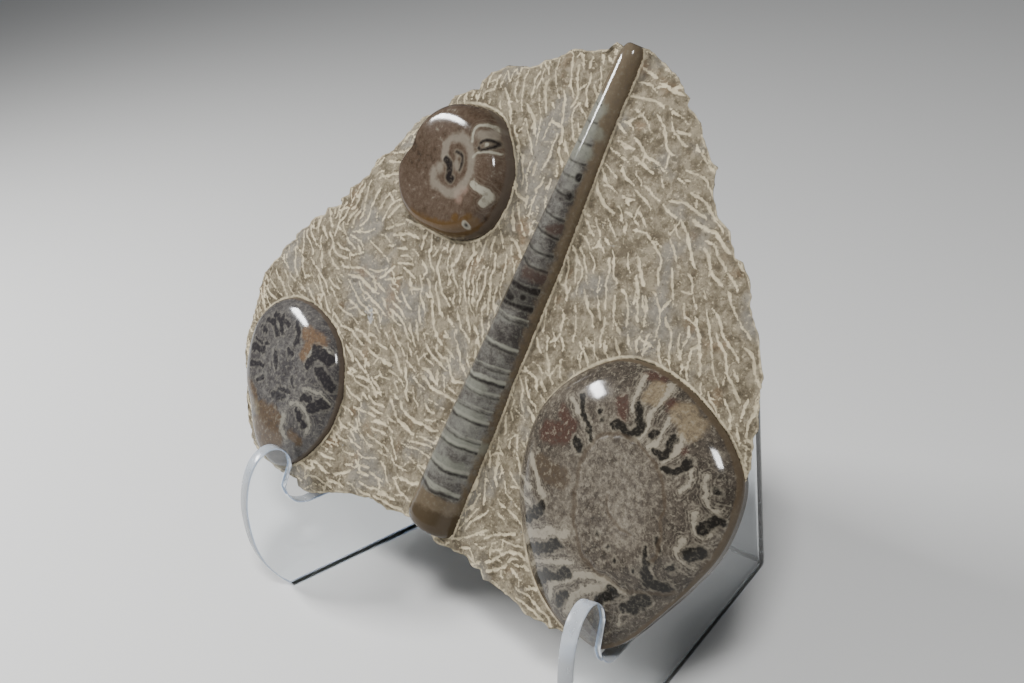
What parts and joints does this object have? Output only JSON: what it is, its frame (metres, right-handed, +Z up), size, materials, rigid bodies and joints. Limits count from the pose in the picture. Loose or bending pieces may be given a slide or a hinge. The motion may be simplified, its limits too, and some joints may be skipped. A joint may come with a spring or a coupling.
{
  "type": "orthoceras fossil plaque",
  "caption": "Chipped limestone slab with a long polished orthoceras and coiled shells in relief, leaning back on a bent clear acrylic stand with hooked wings.",
  "frame": {"origin": "middle of the object's box, on the ground the stand's wings rest on", "axes": "+X across the slab to the viewer's right, +Y away from the viewer, towards the stand's back panel, +Z up"},
  "size_m": [0.2668, 0.1504, 0.2261],
  "materials": {
    "limestone": "rough chiselled tan-grey limestone with pale tool marks",
    "orthoceras_calcite": "polished, grey chambers with dark septa and a tan flank",
    "large_shell_calcite": "polished, grey with brown-red chambers and pale septa",
    "small_shell_calcite": "polished, grey-brown with an orange chamber",
    "goniatite_calcite": "polished to a high gloss, brown with a pale ring",
    "clear_acrylic": "clear, polished faces and cut edges"
  },
  "bodies": {
    "root": {"matrix_slab": "limestone", "orthoceras": "orthoceras_calcite", "ammonite_large": "large_shell_calcite", "ammonite_small": "small_shell_calcite", "goniatite": "goniatite_calcite", "acrylic_stand": "clear_acrylic"}
  },
  "joints": []
}
